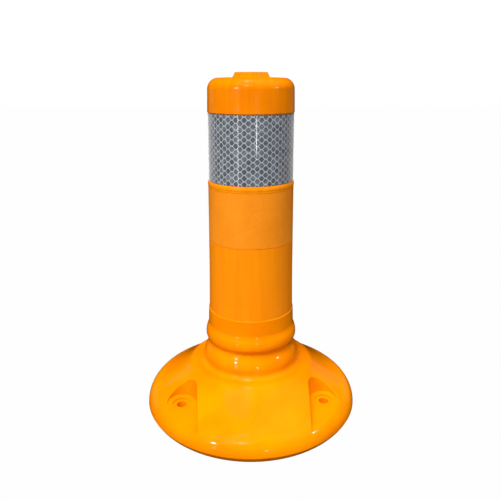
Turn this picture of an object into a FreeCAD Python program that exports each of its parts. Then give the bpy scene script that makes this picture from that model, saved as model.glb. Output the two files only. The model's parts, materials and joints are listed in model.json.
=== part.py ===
import FreeCAD, Part
import math
import os

# Flexible delineator post: a moulded base that bolts to the road, a neck that
# bends, a tube with two film bands, and a plug cap. Z is up, the ground is z = 0,
# the post stands on the Z axis and its front is towards -Y. Millimetres.

V = FreeCAD.Vector
AXIS = V(0, 0, 1)
ORIGIN = V(0, 0, 0)

# ---- driving dimensions -------------------------------------------------
base_radius = 100.0          # widest radius of the base
tube_radius = 38.95          # outside of the tube above its flared foot
tube_top = 285.3             # the cap's edge sits just above this
film_width = 59.8            # upper band
lower_film_width = 49.0
neck_root_height = 53.8      # top of the groove round the foot of the neck
neck_height = 34.2           # length of the part that bends
neck_cuff = 2.0              # straight end of the neck that carries the collar
collar_height = 13.0

base_wall = 5.0              # shell thickness of the base
rim_foot_inset = 11.2        # the rounded rim meets the ground this far in
rim_mid_height = 10.1        # height of the widest point
rim_turn_inset = 4.4         # the underside of the rim passes through this point,
rim_turn_height = 4.0        # measured in from the widest radius and up from the ground
rim_inner_turn = 2.4         # the same for the inside of the shell
rim_inner_height = 4.6
shoulder_radius = 16.4       # round between the rim and the slope
shoulder_slope = 30.0        # slope where the shoulder ends, degrees
slope_sag = 1.5              # the slope is this much hollow
groove_round = 4.4           # hollow round where the neck meets the base
shelf_width = 3.2            # level strip outside it
shelf_round = 10.0            # between that strip and the slope

bolt_circle_radius = 0.775 * base_radius
bolt_hole_radius = 4.5
bolt_angles = (57.0, 180.0, 303.0)   # measured from the front, -Y
washer_seat_radius = 8.2
seat_depth = 0.5
pocket_radius = 13.3         # back of each bolt pocket, round its hole
pocket_floor_height = 25.0   # at the hole
pocket_floor_slope = 5.5     # floor falls towards the open end, degrees
pocket_flare = 4.7           # side walls open out, degrees
pocket_draft = 3.0           # walls lean back, degrees
edge_round = 0.6             # pocket rims and the top of the boss
pocket_shell = 3.5           # material left round a pocket
column_wall = 6.0            # round each bolt hole, down to the ground
rib_count = 6
rib_thickness = 3.0
hub_wall = 4.4               # ring under the neck, down to the ground
hub_ring_depth = 9.7         # solid ring that carries the neck
hub_shoulder = 6.5           # the ring reaches this far out past the hub wall

neck_root_step = 4.6         # the neck's foot stands out this far from the collar
neck_wall = 3.8
collar_step = 1.45           # the collar stands out this far from the tube
collar_taper = 0.35
collar_edge = 0.6

tube_wall = 4.45
foot_flare = 0.5             # the tube widens a little above the collar
flare_length = 42.0
spigot_step = 1.45           # the tube's lower end is this much smaller
glue_gap = 0.1               # radial room for adhesive round the spigot

film_thickness = 0.35
film_gap = 0.05              # adhesive under each film
upper_seat_depth = 1.0       # recess that the upper band lies in
lower_seat_depth = 0.45
seat_margin = 0.3            # each recess is this much longer than its band
lower_groove = 0.9           # open groove under the lower band
bead_height = 3.2            # rounded ring between the two bands
bead_rise = 0.25
seam_width = 8.0             # where the upper band overlaps itself, at the back

cap_inset = 0.1              # the cap is this much smaller than the tube
cap_draft = 0.35             # it narrows this much up to its shoulder
cap_side = 20.1              # from its edge to the shoulder
cap_round = 9.6
cap_height = 30.2
cap_wall = 3.3
plug_gap = 0.1               # radial room between plug and tube bore
plug_wall = 2.8
plug_length = 23.5
snap_drop = 17.5             # the snap ring is this far below the cap's edge
snap_rise = 0.45             # and stands out this much
snap_half = 1.6
boss_height = 4.3
boss_top_radius = 16.2       # across the corners
boss_foot_radius = 19.2
boss_foot_round = 1.0
boss_sink = 1.2              # the boss starts this far below the crown

# ---- sizes that follow --------------------------------------------------
collar_radius = tube_radius + collar_step
neck_root_radius = collar_radius + neck_root_step
shelf_height = neck_root_height - groove_round
hub_inner_radius = neck_root_radius - neck_wall
hub_outer_radius = hub_inner_radius + hub_wall
hub_top = neck_root_height - hub_ring_depth
bellows_top = neck_root_height + neck_height
collar_bottom = bellows_top + neck_cuff
collar_top = collar_bottom + collar_height
spigot_bottom = collar_bottom + 1.6
spigot_radius = tube_radius - spigot_step
tube_bore_radius = tube_radius - tube_wall
upper_seat_radius = tube_radius - upper_seat_depth
lower_seat_radius = tube_radius - lower_seat_depth
upper_band_top = tube_top - seat_margin
upper_band_bottom = upper_band_top - film_width
bead_top = upper_band_bottom - 1.6
bead_bottom = bead_top - bead_height
lower_band_top = bead_bottom - 1.4
lower_band_bottom = lower_band_top - lower_film_width
cap_radius = tube_radius - cap_inset
cap_shoulder_radius = cap_radius - cap_draft
cap_bottom = tube_top + 0.2
cap_shoulder_height = cap_bottom + cap_side
cap_top = cap_bottom + cap_height
boss_top = cap_top + boss_height
plug_radius = tube_bore_radius - plug_gap
plug_bottom = cap_bottom - plug_length
snap_height = cap_bottom - snap_drop


# ---- helpers ------------------------------------------------------------
def rz(r, z):
    return V(r, 0, z)


def line(a, b):
    return Part.LineSegment(rz(*a), rz(*b)).toShape()


def arc(a, mid, b):
    return Part.Arc(rz(*a), rz(*mid), rz(*b)).toShape()


def spline(points):
    curve = Part.BSplineCurve()
    curve.interpolate([rz(*p) for p in points])
    return curve.toShape()


def chain(points):
    return [line(a, b) for a, b in zip(points, points[1:])]


def revolve(edges):
    wire = Part.Wire(edges)
    return Part.Face(wire).revolve(ORIGIN, AXIS, 360)


def ring(r_in, r_out, z0, z1):
    return revolve(chain([(r_in, z0), (r_out, z0), (r_out, z1), (r_in, z1), (r_in, z0)]))


def cylinder(radius, z0, z1, x=0.0, y=0.0):
    return Part.makeCylinder(radius, z1 - z0, V(x, y, z0))


def plan(angle, radius):
    a = math.radians(angle)
    return radius * math.sin(a), -radius * math.cos(a)


def save(name, shape):
    if len(shape.Solids) != 1 or not shape.isValid():
        raise RuntimeError("%s is not one sound solid" % name)
    shape.Solids[0].exportStep("parts/%s.step" % name)


os.makedirs("parts", exist_ok=True)

# ---- base ---------------------------------------------------------------
def rim_points(offset):
    """Points of the rim and slope, moved inwards by an offset."""
    centre = (base_radius - shoulder_radius, rim_mid_height)
    reach = shoulder_radius - offset
    half = math.radians((90.0 - shoulder_slope) / 2)
    end = math.radians(90.0 - shoulder_slope)
    low = (base_radius - offset, rim_mid_height)
    mid = (centre[0] + reach * math.cos(half), centre[1] + reach * math.sin(half))
    top = (centre[0] + reach * math.cos(end), centre[1] + reach * math.sin(end))
    return low, mid, top


def hollow_arc(a, b):
    """A slightly hollow slope from a up to b."""
    length = math.dist(a, b)
    nx = (a[1] - b[1]) / length
    nz = (b[0] - a[0]) / length
    mid = ((a[0] + b[0]) / 2 + nx * slope_sag, (a[1] + b[1]) / 2 + nz * slope_sag)
    return arc(a, mid, b)


rim_low, rim_mid, slope_start = rim_points(0)
rim_foot = (base_radius - rim_foot_inset, 0)
shelf_in = (neck_root_radius + groove_round, shelf_height)
shelf_out = (shelf_in[0] + shelf_width, shelf_height)
lean = math.radians(40.0)                    # slope where it meets the shelf's round
shelf_mid = (shelf_out[0] + shelf_round * math.sin(lean / 2),
             shelf_height - shelf_round * (1 - math.cos(lean / 2)))
slope_top = (shelf_out[0] + shelf_round * math.sin(lean),
             shelf_height - shelf_round * (1 - math.cos(lean)))
groove_mid = (neck_root_radius + groove_round * (1 - math.cos(math.pi / 4)),
              neck_root_height - groove_round * math.sin(math.pi / 4))
outer = revolve([
    line((0, 0), rim_foot),
    arc(rim_foot, (base_radius - rim_turn_inset, rim_turn_height), rim_low),
    arc(rim_low, rim_mid, slope_start),
    hollow_arc(slope_start, slope_top),
    arc(slope_top, shelf_mid, shelf_out),
    line(shelf_out, shelf_in),
    arc(shelf_in, groove_mid, (neck_root_radius, neck_root_height)),
    line((neck_root_radius, neck_root_height), (0, neck_root_height)),
    line((0, neck_root_height), (0, 0)),
])

in_low, in_mid, in_start = rim_points(base_wall)
foot_in = rim_foot[0] - base_wall
slope_end = (hub_outer_radius + hub_shoulder, hub_top)
hollow = revolve([
    line((0, -1), (foot_in, -1)),
    line((foot_in, -1), (foot_in, 0)),
    arc((foot_in, 0), (in_low[0] - rim_inner_turn, rim_inner_height), in_low),
    arc(in_low, in_mid, in_start),
    hollow_arc(in_start, slope_end),
    line(slope_end, (0, hub_top)),
    line((0, hub_top), (0, -1)),
])


def slot(angle, radius, drop):
    """One bolt pocket: a round-backed slot that opens along the draw direction."""
    hx, hy = plan(angle, bolt_circle_radius)
    out = -1.0 if hy < 0 else 1.0            # the way the slot opens along Y
    flare = math.radians(pocket_flare)
    reach = base_radius                      # runs well past the rim
    wires = []
    for z in (0.0, 80.0):
        r = radius + (z - pocket_floor_height) * math.tan(math.radians(pocket_draft))
        dx = r * math.cos(flare)
        dy = r * math.sin(flare)
        ends = dx + reach * math.tan(flare)
        left = V(hx - dx, hy - out * dy, z)
        right = V(hx + dx, hy - out * dy, z)
        back = V(hx, hy - out * r, z)
        far_left = V(hx - ends, hy + out * reach, z)
        far_right = V(hx + ends, hy + out * reach, z)
        wires.append(Part.Wire([
            Part.Arc(left, back, right).toShape(),
            Part.LineSegment(right, far_right).toShape(),
            Part.LineSegment(far_right, far_left).toShape(),
            Part.LineSegment(far_left, left).toShape(),
        ]))
    walls = Part.makeLoft(wires, True, True)
    floor = Part.makeBox(400, 400, 120, V(-200, -200, 0))
    floor.rotate(ORIGIN, V(1, 0, 0), -out * pocket_floor_slope)
    floor.translate(V(0, hy, pocket_floor_height - drop))
    return walls.common(floor)


pockets = [slot(a, pocket_radius, 0.0) for a in bolt_angles]
pocket_skins = [slot(a, pocket_radius + pocket_shell, pocket_shell + 0.5) for a in bolt_angles]
columns = [cylinder(bolt_hole_radius + column_wall, -1, 30, *plan(a, bolt_circle_radius))
           for a in bolt_angles]
ribs = []
for i in range(rib_count):
    rib = Part.makeBox(base_radius, rib_thickness, neck_root_height,
                       V(hub_outer_radius - 1, -rib_thickness / 2, 0))
    rib.rotate(ORIGIN, AXIS, 360.0 / rib_count * i)
    ribs.append(rib)
hub = ring(hub_inner_radius, hub_outer_radius, 0, hub_top + 1)


def is_pocket_rim(edge):
    """True where a pocket wall breaks through the slope, clear of the floor."""
    p = edge.valueAt((edge.FirstParameter + edge.LastParameter) / 2)
    around = math.hypot(p.x, p.y)
    if edge.Curve.TypeId != "Part::GeomBSplineCurve" or not 50 < around < base_radius - 1:
        return False
    for a in bolt_angles:
        hx, hy = plan(a, bolt_circle_radius)
        along = (p.y - hy) * (-1.0 if hy < 0 else 1.0)
        floor = pocket_floor_height - along * math.tan(math.radians(pocket_floor_slope))
        if math.hypot(p.x - hx, min(along, 0.0)) < pocket_radius + 8 and p.z > floor + 0.8:
            return True
    return False


def round_rims(shape):
    """Round the pocket rims, with a smaller round where the full one does not fit."""
    rims = [e for e in shape.Edges if is_pocket_rim(e)]
    for share in (1.0, 0.8, 0.65, 0.5):
        try:
            rounded = shape.makeFillet(share * edge_round, rims)
        except Part.OCCError:
            continue
        if rounded.isValid() and len(rounded.Solids) == 1:
            return rounded
    print("pocket rims left sharp")
    return shape


space = hollow.cut(pocket_skins + columns + ribs + [hub])
base = round_rims(outer.cut(pockets)).cut(space)
base = base.cut(cylinder(hub_inner_radius, -1, neck_root_height + 5))

for a in bolt_angles:
    x, y = plan(a, bolt_circle_radius)
    base = base.cut(cylinder(bolt_hole_radius, -1, 40, x, y))
    base = base.cut(cylinder(washer_seat_radius, pocket_floor_height - seat_depth, 45, x, y))
print("base solids", len(base.Solids), "valid", base.isValid(), "volume", round(base.Volume))
save("base", base)

# ---- bending neck -------------------------------------------------------
# radius beyond the collar's, and share of the neck's height, from the root up
neck_shape = [(neck_root_step, 0.0), (4.6, 0.079), (4.35, 0.137), (3.9, 0.187), (3.2, 0.246),
              (2.2, 0.304), (1.0, 0.3626), (0.1, 0.418), (-0.4, 0.4766), (0.5, 0.541),
              (2.1, 0.617), (2.55, 0.693), (2.4, 0.766), (1.8, 0.848), (0.85, 0.918), (0.0, 1.0)]
neck_outside = [(collar_radius + out, neck_root_height + share * neck_height)
                for out, share in neck_shape]
neck_inside = [(r - neck_wall, z) for r, z in neck_outside]
neck = revolve([
    spline(neck_outside),
    line(neck_outside[-1], (collar_radius, collar_bottom)),
    line((collar_radius, collar_bottom), (collar_radius - neck_wall, collar_bottom)),
    line((collar_radius - neck_wall, collar_bottom), neck_inside[-1]),
    spline(neck_inside),
    line(neck_inside[0], neck_outside[0]),
])
save("neck_bellows", neck)

# ---- collar that holds the tube ----------------------------------------
collar_bore = spigot_radius + glue_gap
collar = revolve(chain([
    (collar_radius - neck_wall, collar_bottom), (collar_radius, collar_bottom),
    (collar_radius - collar_taper, collar_top - collar_edge),
    (collar_radius - collar_taper - collar_edge, collar_top), (collar_bore, collar_top),
    (collar_bore, spigot_bottom - 0.2), (collar_radius - neck_wall, spigot_bottom - 0.2),
    (collar_radius - neck_wall, collar_bottom),
]))
save("neck_collar", collar)

# ---- tube ---------------------------------------------------------------
groove_radius = tube_bore_radius + snap_rise + plug_gap
tube = revolve(
    chain([
        (tube_bore_radius, spigot_bottom), (spigot_radius, spigot_bottom),
        (spigot_radius, collar_top + 0.1), (tube_radius + foot_flare, collar_top + 0.1),
        (tube_radius + foot_flare / 2.5, collar_top + flare_length / 2),
        (tube_radius, collar_top + flare_length),
        (tube_radius, lower_band_bottom - lower_groove),
        (lower_seat_radius, lower_band_bottom - lower_groove),
        (lower_seat_radius, lower_band_top + seat_margin),
        (tube_radius, lower_band_top + seat_margin), (tube_radius, bead_bottom),
    ])
    + [arc((tube_radius, bead_bottom), (tube_radius + bead_rise, (bead_bottom + bead_top) / 2),
           (tube_radius, bead_top))]
    + chain([
        (tube_radius, bead_top), (tube_radius - 0.15, bead_top + 0.7),
        (upper_seat_radius, bead_top + 1.2), (upper_seat_radius, tube_top),
        (tube_bore_radius, tube_top),
        (tube_bore_radius, snap_height + snap_half + 0.3),
        (groove_radius, snap_height + snap_half), (groove_radius, snap_height - snap_half),
        (tube_bore_radius, snap_height - snap_half - 0.3), (tube_bore_radius, spigot_bottom),
    ])
)
save("post_tube", tube)

# ---- film bands ---------------------------------------------------------
upper_inner = upper_seat_radius + film_gap
upper_outer = upper_inner + film_thickness
upper_band = ring(upper_inner, upper_outer, upper_band_bottom, upper_band_top)
seam = ring(upper_outer - film_gap, upper_outer + film_thickness, upper_band_bottom, upper_band_top)
strip = Part.makeBox(seam_width, tube_radius + 5, film_width + 10,
                     V(-seam_width / 2, 5, upper_band_bottom - 5))
seam = seam.common(strip)
save("silver_band", upper_band.fuse(seam).removeSplitter())

lower_inner = lower_seat_radius + film_gap
save("orange_band", ring(lower_inner, lower_inner + film_thickness,
                         lower_band_bottom, lower_band_top))

# ---- cap ----------------------------------------------------------------
cap_corner = (cap_shoulder_radius - cap_round, cap_shoulder_height)
corner_mid = (cap_corner[0] + cap_round * math.cos(math.pi / 4),
              cap_corner[1] + cap_round * math.sin(math.pi / 4))
crown_edge = (cap_corner[0], cap_shoulder_height + cap_round)
crown_mid = crown_edge[1] + 0.75 * (cap_top - crown_edge[1])
inner_corner = (cap_shoulder_radius - cap_wall, cap_shoulder_height)
ceiling = cap_top - cap_wall
cap = revolve(
    chain([
        (0, ceiling), (plug_radius - 6, ceiling), inner_corner,
        (cap_shoulder_radius - cap_wall, cap_bottom + cap_wall),
        (plug_radius - plug_wall, cap_bottom + cap_wall),
        (plug_radius - plug_wall, plug_bottom), (plug_radius - 0.6, plug_bottom),
        (plug_radius, plug_bottom + 2.0), (plug_radius, snap_height - snap_half + 0.3),
        (plug_radius + snap_rise, snap_height - 0.3),
        (plug_radius + snap_rise, snap_height + 0.3),
        (plug_radius, snap_height + snap_half - 0.3), (plug_radius, cap_bottom),
        (cap_radius - 0.3, cap_bottom), (cap_radius, cap_bottom + 0.3),
        (cap_shoulder_radius, cap_shoulder_height),
    ])
    + [arc((cap_shoulder_radius, cap_shoulder_height), corner_mid, crown_edge),
       arc(crown_edge, (crown_edge[0] / 2, crown_mid), (0, cap_top)),
       line((0, cap_top), (0, ceiling))]
)


def hexagon(radius, z):
    points = [V(*plan(60.0 * i, radius), z) for i in range(6)]
    return Part.makePolygon(points + points[:1])


boss = Part.makeLoft([hexagon(boss_foot_radius, cap_top - boss_sink), hexagon(boss_top_radius, boss_top)],
                     True, True)
top_edges = [e for e in boss.Edges if e.BoundBox.ZMin > boss_top - 0.01]
boss = boss.makeFillet(edge_round, top_edges)
cap = cap.fuse(boss).removeSplitter()


def is_boss_foot(edge):
    """True where one side of the boss meets the crown of the cap."""
    box = edge.BoundBox
    at_crown = cap_top - boss_sink < box.ZMin and box.ZMax < cap_top + 0.05
    return at_crown and boss_top_radius / 2 < box.DiagonalLength < 2 * boss_top_radius


cap = cap.makeFillet(boss_foot_round, [e for e in cap.Edges if is_boss_foot(e)])
save("top_cap", cap)
print("cap volume", round(cap.Volume))
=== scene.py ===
# Flexible delineator post: moulded base, bending neck, tube with two film bands, plug cap.
import bpy
import json
import math
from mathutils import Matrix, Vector


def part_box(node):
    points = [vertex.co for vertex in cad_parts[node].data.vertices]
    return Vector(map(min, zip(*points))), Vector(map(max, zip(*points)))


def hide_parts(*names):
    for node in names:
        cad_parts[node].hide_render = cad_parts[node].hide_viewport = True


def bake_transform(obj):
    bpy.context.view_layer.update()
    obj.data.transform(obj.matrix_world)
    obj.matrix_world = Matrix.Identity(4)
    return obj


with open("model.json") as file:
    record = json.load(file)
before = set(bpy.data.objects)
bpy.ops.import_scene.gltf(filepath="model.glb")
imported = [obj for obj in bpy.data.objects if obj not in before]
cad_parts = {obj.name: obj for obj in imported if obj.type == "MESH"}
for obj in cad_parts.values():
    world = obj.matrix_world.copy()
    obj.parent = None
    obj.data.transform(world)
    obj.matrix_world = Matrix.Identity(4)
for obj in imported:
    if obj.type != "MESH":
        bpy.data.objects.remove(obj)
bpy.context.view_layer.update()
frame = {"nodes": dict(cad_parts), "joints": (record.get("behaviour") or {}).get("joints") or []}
mm = 0.001
print("frame loaded:", ", ".join(sorted(frame["nodes"])))


def hexColour(text):
    parts = [int(text[i:i + 2], 16) / 255 for i in (1, 3, 5)]
    return [c / 12.92 if c <= 0.04045 else ((c + 0.055) / 1.055) ** 2.4 for c in parts] + [1.0]


def addNode(tree, kind, settings=None, inputs=None):
    node = tree.nodes.new("ShaderNode" + kind)
    for name, value in (settings or {}).items():
        setattr(node, name, value)
    for name, value in (inputs or {}).items():
        if isinstance(value, bpy.types.NodeSocket):
            tree.links.new(value, node.inputs[name])
        else:
            node.inputs[name].default_value = value
    return node


def newMaterial(name):
    material = bpy.data.materials.new(name)
    material.use_nodes = True
    tree = material.node_tree
    tree.nodes.clear()
    return material, tree


def spreadOut(tree, value, low, high, start=0.0, end=1.0):
    # stretches the part of a value that lies between low and high
    spread = addNode(tree, "MapRange", inputs={
        "Value": value, "From Min": low, "From Max": high, "To Min": start, "To Max": end})
    return spread.outputs[0]


def blendColours(tree, share, first, second):
    mixed = addNode(tree, "Mix", {"data_type": "RGBA"}, {
        "Factor": share, 6: hexColour(first), 7: hexColour(second)})
    return mixed.outputs[2]


def aroundPost(tree):
    # angle from the front in turns, and height in metres: a pattern that wraps round the post
    place = addNode(tree, "TexCoord").outputs["Object"]
    parts = addNode(tree, "SeparateXYZ", inputs={0: place})
    back = addNode(tree, "Math", {"operation": "MULTIPLY"}, {0: parts.outputs["Y"], 1: -1.0})
    angle = addNode(tree, "Math", {"operation": "ARCTAN2"}, {
        0: parts.outputs["X"], 1: back.outputs[0]})
    turns = addNode(tree, "Math", {"operation": "DIVIDE"}, {0: angle.outputs[0], 1: 2 * math.pi})
    return place, turns.outputs[0], parts.outputs["Z"]


# Glossy polyurethane, injection moulded: deep even colour, faint clouding where the melt met,
# and a very fine orange peel that breaks up the highlights
# (sizes in mm; each pair is the least and the most)
mouldedUrethane = {
    "name": "polyurethane moulded gloss", "light": "#F38900", "deep": "#EB7D00",
    "cloudSize": 38, "patchSize": 9, "peelSize": 1.6, "peelDepth": 0.012,
    "rough": (0.08, 0.13), "shine": 0.25, "streaks": 0.0,
}
# the cap comes from a smaller mould with drag lines up its sides
capUrethane = {
    "name": "polyurethane moulded cap gloss", "light": "#F18500", "deep": "#E77800",
    "cloudSize": 26, "patchSize": 9, "peelSize": 1.6, "peelDepth": 0.014,
    "rough": (0.13, 0.22), "shine": 0.25, "streaks": 0.5,
}
# satin polyurethane tube, drawn off a core: faint long lines, less gloss than the base
tubeUrethane = {
    "name": "polyurethane drawn satin", "light": "#F58E00", "deep": "#ED8200",
    "cloudSize": 45, "patchSize": 9, "peelSize": 1.2, "peelDepth": 0.01,
    "rough": (0.3, 0.42), "shine": 0.15, "streaks": 0.6,
}
streakRun = (46.0, 7.0, 1.0)  # drag lines round the post, and in a metre of height


def makeUrethane(look):
    material, tree = newMaterial(look["name"])
    place, turns, height = aroundPost(tree)
    clouds = addNode(tree, "TexNoise", inputs={
        "Vector": place, "Scale": 1 / (look["cloudSize"] * mm), "Detail": 3.0, "Roughness": 0.55})
    line = addNode(tree, "CombineXYZ", inputs={"X": turns, "Y": height})
    stretched = addNode(tree, "Mapping", inputs={"Vector": line.outputs[0], "Scale": streakRun})
    lines = addNode(tree, "TexNoise", inputs={
        "Vector": stretched.outputs[0], "Scale": 1.0, "Detail": 2.0})
    tone = addNode(tree, "Mix", {"data_type": "FLOAT"}, {
        "Factor": look["streaks"], "A": clouds.outputs["Fac"], "B": lines.outputs["Fac"]})
    share = spreadOut(tree, tone.outputs[0], 0.36, 0.64)
    colour = blendColours(tree, share, look["deep"], look["light"])
    patches = addNode(tree, "TexNoise", inputs={
        "Vector": place, "Scale": 1 / (look["patchSize"] * mm), "Detail": 2.0})
    rough = spreadOut(tree, patches.outputs["Fac"], 0.35, 0.65, *look["rough"])
    peel = addNode(tree, "TexNoise", inputs={
        "Vector": place, "Scale": 1 / (look["peelSize"] * mm), "Detail": 1.0})
    bump = addNode(tree, "Bump", inputs={
        "Strength": 1.0, "Distance": look["peelDepth"] * mm, "Height": peel.outputs["Fac"]})
    shader = addNode(tree, "BsdfPrincipled", inputs={
        "Base Color": colour, "Roughness": rough, "IOR": 1.5,
        "Specular IOR Level": look["shine"], "Normal": bump.outputs[0]})
    addNode(tree, "OutputMaterial", inputs={"Surface": shader.outputs[0]})
    return material


# Silver retroreflective sheeting: sealed cells with pale ridges round dark mirror-backed middles,
# under a clear smooth face that catches the lamps as upright streaks
silverFilm = {
    "columns": 66, "pitch": 5.4,  # cells round the post, both staggered sets, and mm between rows
    "ridge": "#B4B8BC", "cell": "#4E545D", "cellPale": "#727982", "cellMottle": 0.8,
    "ridgeStart": 0.39, "ridgeFull": 0.49,  # shares of a row, from a cell's middle outwards
    "pointed": 0.4,  # 0 is a six-sided cell and 1 a diamond
    "ridgeHeight": 0.05, "rough": 0.32, "faceRough": 0.08, "sheen": 1.0, "sheenRough": 0.35,
}


def makeSilverFilm(look):
    material, tree = newMaterial("retroreflective sheeting silver diamond cells")
    turns, height = aroundPost(tree)[1:]
    across = addNode(tree, "Math", {"operation": "MULTIPLY"}, {
        0: turns, 1: look["columns"] / 2 * math.sqrt(3)})
    up = addNode(tree, "Math", {"operation": "DIVIDE"}, {0: height, 1: look["pitch"] * mm})
    grid = addNode(tree, "CombineXYZ", inputs={"X": across.outputs[0], "Y": up.outputs[0]})
    half = (math.sqrt(3) / 2, 0.5, 0.5)
    slant, flat, diamond = (0.87, 0.5, 0), (0, 1, 0), (0.58, 1, 0)  # the ways a cell's sides face
    found = []
    for shift in ((0, 0, 0), half):  # two staggered sets of cells
        moved = addNode(tree, "VectorMath", {"operation": "ADD"}, {0: grid.outputs[0], 1: shift})
        inCell = addNode(tree, "VectorMath", {"operation": "WRAP"}, {
            0: moved.outputs[0], 1: half, 2: tuple(-h for h in half)})
        size = addNode(tree, "VectorMath", {"operation": "ABSOLUTE"}, {0: inCell.outputs[0]})
        slantReach, flatReach, diamondReach = [
            addNode(tree, "VectorMath", {"operation": "DOT_PRODUCT"}, {
                0: size.outputs[0], 1: side}).outputs["Value"] for side in (slant, flat, diamond)]
        sixSided = addNode(tree, "Math", {"operation": "MAXIMUM"}, {0: slantReach, 1: flatReach})
        found.append(addNode(tree, "Mix", {"data_type": "FLOAT"}, {
            "Factor": look["pointed"], "A": sixSided.outputs[0], "B": diamondReach}).outputs[0])
    nearest = addNode(tree, "Math", {"operation": "MINIMUM"}, {0: found[0], 1: found[1]})
    ridge = addNode(tree, "MapRange", {"interpolation_type": "SMOOTHSTEP"}, {
        "Value": nearest.outputs[0],
        "From Min": look["ridgeStart"], "From Max": look["ridgeFull"]})
    mottle = addNode(tree, "TexNoise", inputs={
        "Vector": grid.outputs[0], "Scale": look["cellMottle"], "Detail": 1.0})
    share = spreadOut(tree, mottle.outputs["Fac"], 0.4, 0.7)
    middle = blendColours(tree, share, look["cell"], look["cellPale"])
    colour = addNode(tree, "Mix", {"data_type": "RGBA"}, {
        "Factor": ridge.outputs[0], 6: middle, 7: hexColour(look["ridge"])})
    bump = addNode(tree, "Bump", inputs={
        "Strength": 1.0, "Distance": look["ridgeHeight"] * mm, "Height": ridge.outputs[0]})
    shader = addNode(tree, "BsdfPrincipled", inputs={
        "Base Color": colour.outputs[2], "Roughness": look["rough"], "IOR": 1.5,
        "Normal": bump.outputs[0], "Coat Weight": 1.0, "Coat Roughness": look["faceRough"],
        "Coat IOR": 1.5, "Sheen Weight": look["sheen"], "Sheen Roughness": look["sheenRough"]})
    addNode(tree, "OutputMaterial", inputs={"Surface": shader.outputs[0]})
    return material


# Orange reflective film: paler than the tube, satin, with a fine grain of beads
orangeFilm = {
    "light": "#F08E14", "deep": "#EA840C", "cloudSize": 30, "grain": 1.8, "grainShare": 0.3,
    "grainDepth": 0.01, "rough": (0.36, 0.48), "shine": 0.25,
}


def makeOrangeFilm(look):
    material, tree = newMaterial("retroreflective sheeting orange satin")
    place = addNode(tree, "TexCoord").outputs["Object"]
    clouds = addNode(tree, "TexNoise", inputs={
        "Vector": place, "Scale": 1 / (look["cloudSize"] * mm), "Detail": 3.0})
    grain = addNode(tree, "TexVoronoi", inputs={
        "Vector": place, "Scale": 1 / (look["grain"] * mm)})
    tone = addNode(tree, "Mix", {"data_type": "FLOAT"}, {
        "Factor": look["grainShare"], "A": clouds.outputs["Fac"], "B": grain.outputs["Distance"]})
    share = spreadOut(tree, tone.outputs[0], 0.35, 0.62)
    colour = blendColours(tree, share, look["deep"], look["light"])
    rough = spreadOut(tree, clouds.outputs["Fac"], 0.35, 0.65, *look["rough"])
    bump = addNode(tree, "Bump", inputs={
        "Strength": 1.0, "Distance": look["grainDepth"] * mm, "Height": grain.outputs["Distance"]})
    shader = addNode(tree, "BsdfPrincipled", inputs={
        "Base Color": colour, "Roughness": rough, "IOR": 1.5,
        "Specular IOR Level": look["shine"], "Normal": bump.outputs[0]})
    addNode(tree, "OutputMaterial", inputs={"Surface": shader.outputs[0]})
    return material


moulded = makeUrethane(mouldedUrethane)
finishes = {
    "base": moulded,
    "neck_collar": moulded,
    "post_tube": makeUrethane(tubeUrethane),
    "top_cap": makeUrethane(capUrethane),
    "silver_band": makeSilverFilm(silverFilm),
    "orange_band": makeOrangeFilm(orangeFilm),
}
for nodeName, finish in finishes.items():
    frame["nodes"][nodeName].material_slots[0].material = finish
print("finishes on the CAD nodes:", len(finishes))

# The bending neck is one wall, made in two parts that meet at the hinges (sizes in mm).
neck = {
    "sides": 144, "wall": 3.8, "ringSpacing": 0.55, "sharpEdge": 40,  # degrees
    # how far each ring stands out beyond the collar, and its share of the neck's height
    "shape": [
        (4.6, 0.0), (4.6, 0.079), (4.35, 0.137), (3.9, 0.187), (3.2, 0.246), (2.2, 0.304),
        (1.0, 0.3626), (0.1, 0.418), (-0.4, 0.4766), (0.5, 0.541), (2.1, 0.617), (2.55, 0.693),
        (2.4, 0.766), (1.8, 0.848), (0.85, 0.918), (0.0, 1.0),
    ],
    "cuff": 2.0,  # straight end that the collar stands on
}


def smoothRadius(shape, share):
    # eased curve through the listed rings
    heights = [h for r, h in shape]
    i = max(k for k in range(len(shape) - 1) if heights[k] <= share + 1e-9)
    around = [shape[max(i - 1, 0)], shape[i], shape[i + 1], shape[min(i + 2, len(shape) - 1)]]
    span = around[2][1] - around[1][1]
    slopes = [(b[0] - a[0]) / (b[1] - a[1]) * span
              for a, b in ((around[0], around[2]), (around[1], around[3]))]
    t = (share - around[1][1]) / span
    return (around[1][0] * (1 + 2 * t) * (1 - t) ** 2 + slopes[0] * t * (1 - t) ** 2
            + around[2][0] * t * t * (3 - 2 * t) + slopes[1] * t * t * (t - 1))


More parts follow.
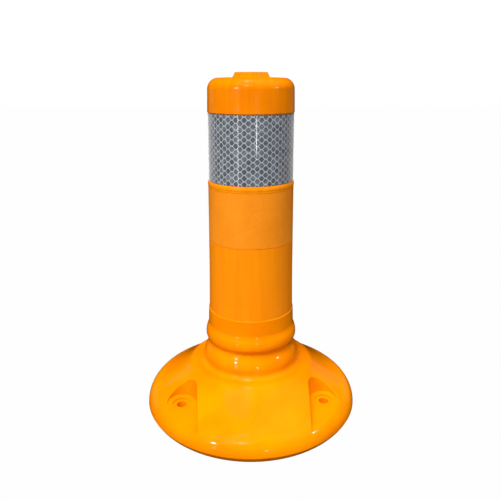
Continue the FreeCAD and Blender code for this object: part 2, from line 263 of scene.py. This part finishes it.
def makeNeckPart(name, lowShare, highShare):
    low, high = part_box("neck_bellows")
    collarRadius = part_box("neck_collar")[1].x
    reach = high.z - low.z - neck["cuff"] * mm
    rings = max(4, round((highShare - lowShare) * reach / (neck["ringSpacing"] * mm)))
    shares = [lowShare + (highShare - lowShare) * i / rings for i in range(rings + 1)]
    radii = [collarRadius + smoothRadius(neck["shape"], s) * mm for s in shares]
    heights = [low.z + s * reach for s in shares]
    if highShare == 1.0:
        radii.append(collarRadius)
        heights.append(high.z)
    bpy.ops.object.select_all(action="DESELECT")
    bpy.ops.mesh.primitive_circle_add(
        vertices=neck["sides"], radius=radii[0], fill_type="NOTHING", location=(0, 0, heights[0]))
    piece = bpy.context.object
    piece.name = piece.data.name = name
    bpy.ops.object.mode_set(mode="EDIT")
    bpy.ops.mesh.select_all(action="SELECT")
    for i in range(len(radii) - 1):  # each ring is drawn up from the one below
        bpy.ops.mesh.extrude_region_move(
            TRANSFORM_OT_translate={"value": (0, 0, heights[i + 1] - heights[i])})
        widen = radii[i + 1] / radii[i]
        bpy.ops.transform.resize(value=(widen, widen, 1), center_override=(0, 0, heights[i + 1]))
    bpy.ops.mesh.select_all(action="SELECT")
    bpy.ops.mesh.normals_make_consistent(inside=False)
    bpy.ops.object.mode_set(mode="OBJECT")
    thick = piece.modifiers.new("wall", "SOLIDIFY")
    thick.thickness = neck["wall"] * mm
    thick.offset = -1.0
    thick.use_even_offset = True
    bpy.ops.object.modifier_apply(modifier=thick.name)
    bpy.ops.object.shade_smooth_by_angle(angle=math.radians(neck["sharpEdge"]))
    bpy.ops.object.transform_apply(location=True, rotation=True, scale=True)
    piece.data.materials.append(moulded)
    return piece


hinge = next(j for j in frame["joints"] if j["name"] == "neck_bend_x")
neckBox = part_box("neck_bellows")
neckReach = neckBox[1].z - neckBox[0].z - neck["cuff"] * mm
waistShare = (hinge["pos_m"][2] - neckBox[0].z) / neckReach
lowerNeck = makeNeckPart("neck_lower", 0.0, waistShare)
upperNeck = makeNeckPart("neck_upper", waistShare, 1.0)
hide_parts("neck_bellows")
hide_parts("neck_bellows")
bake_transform(lowerNeck)
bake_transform(upperNeck)
print("neck skin:", sum(len(p.data.polygons) for p in (lowerNeck, upperNeck)), "faces")

studio = {
    "floorColour": "#7A7978", "floorWhite": 0.985, "floorSize": 12.0, "floorMottle": 60.0,
    # broad soft lights: azimuth, elevation and apparent width in degrees, then strength
    "daylight": {"window": (-30, 57, 40, 4.3), "fill": (80, 55, 60, 1.15)},
    # small lamps: azimuth and elevation, then distance, width and height in metres, and watts
    "lamps": {
        "leftLamp": (-40, 20, 1.3, 0.06, 0.08, 2.4), "topLamp": (-100, 86, 1.3, 0.03, 0.08, 2.0),
        "rightLamp": (68, 20, 1.4, 0.05, 0.06, 1.0), "frontLamp": (-13, 43, 1.3, 0.1, 0.03, 0.9),
        # dim panels whose reflections run down the film
        "leftStrip": (-36, -3, 1.3, 0.03, 0.34, 0.4), "middleStrip": (12, 0, 1.3, 0.05, 0.12, 0.4),
        "leftPanel": (-128, 3, 1.3, 0.6, 0.5, 0.14), "rightPanel": (131, 3, 1.3, 0.6, 0.5, 0.12),
    },
    "aim": (0.0, 0.0, 0.14), "ambient": 0.12,
}


def lampDirection(azimuth, elevation):
    a, e = math.radians(azimuth), math.radians(elevation)
    return Vector((math.sin(a) * math.cos(e), -math.cos(a) * math.cos(e), math.sin(e)))


for lightName, (azimuth, elevation, apparentWidth, strength) in studio["daylight"].items():
    out = lampDirection(azimuth, elevation)
    bpy.ops.object.light_add(
        type="SUN", location=out * 2, rotation=(-out).to_track_quat("-Z", "Y").to_euler())
    broad = bpy.context.object
    broad.name = lightName
    broad.data.angle = math.radians(apparentWidth)
    broad.data.energy = strength
    broad.visible_glossy = False  # too broad to make a clean highlight
for lampName, (azimuth, elevation, distance, width, height, watts) in studio["lamps"].items():
    out = lampDirection(azimuth, elevation)
    bpy.ops.object.light_add(
        type="AREA", location=Vector(studio["aim"]) + out * distance,
        rotation=(-out).to_track_quat("-Z", "Y").to_euler())
    lamp = bpy.context.object
    lamp.name = lampName
    lamp.data.shape = "RECTANGLE"
    lamp.data.size, lamp.data.size_y = width, height
    lamp.data.energy = watts

bpy.ops.object.select_all(action="DESELECT")
bpy.ops.mesh.primitive_plane_add(size=studio["floorSize"], location=(0, 0, 0))
floor = bpy.context.object
floor.name = "floor"
# matt backdrop paper: white to look at, and a calm grey as a light
paper, tree = newMaterial("backdrop paper matt")
mottle = addNode(tree, "TexNoise", inputs={
    "Vector": addNode(tree, "TexCoord").outputs["Object"],
    "Scale": studio["floorMottle"], "Detail": 4.0})
mottleTone = spreadOut(tree, mottle.outputs["Fac"], 0.0, 1.0, 0.98, 1.0)
paperColour = addNode(tree, "Mix", {"data_type": "RGBA", "blend_type": "MULTIPLY"}, {
    "Factor": 1.0, 6: hexColour(studio["floorColour"]), 7: mottleTone})
paperShader = addNode(tree, "BsdfDiffuse", inputs={"Color": paperColour.outputs[2]})
glow = addNode(tree, "Emission", inputs={"Color": (1.0, 1.0, 1.0, 1.0), "Strength": 1.0})
seen = addNode(tree, "Math", {"operation": "MULTIPLY"}, {
    0: addNode(tree, "LightPath").outputs["Is Camera Ray"], 1: studio["floorWhite"]})
both = addNode(tree, "MixShader", inputs={
    0: seen.outputs[0], 1: paperShader.outputs[0], 2: glow.outputs[0]})
addNode(tree, "OutputMaterial", inputs={"Surface": both.outputs[0]})
floor.data.materials.append(paper)
floor.visible_glossy = False  # so the gloss shows the lamps and not the floor

world = bpy.data.worlds.new("studio")
bpy.context.scene.world = world
world.use_nodes = True
world.cycles_visibility.glossy = False
tree = world.node_tree
tree.nodes.clear()
ray = addNode(tree, "LightPath")  # a white room to look at, much dimmer as a light
dimmed = spreadOut(tree, ray.outputs["Is Camera Ray"], 0.0, 1.0, studio["ambient"], 1.0)
room = addNode(tree, "Background", inputs={"Color": (1.0, 1.0, 1.0, 1.0), "Strength": dimmed})
addNode(tree, "OutputWorld", inputs={"Surface": room.outputs[0]})
bpy.context.scene.view_settings.view_transform = "Standard"

camera = {
    "distance": 0.4874, "height": 0.314, "lookDown": 12.57, "orbit": -2.5,  # metres and degrees
    "lens": 39.05, "sensor": 36.0, "shift": (-0.0018, -0.1),
}
orbit = math.radians(camera["orbit"])
bpy.ops.object.camera_add(
    location=(camera["distance"] * math.sin(orbit), -camera["distance"] * math.cos(orbit),
              camera["height"]),
    rotation=(math.radians(90 - camera["lookDown"]), 0, orbit))
eye = bpy.context.object
eye.name = "camera"
eye.data.sensor_width = camera["sensor"]
eye.data.lens = camera["lens"]
eye.data.shift_x, eye.data.shift_y = camera["shift"]
bpy.context.scene.camera = eye
print("studio ready")
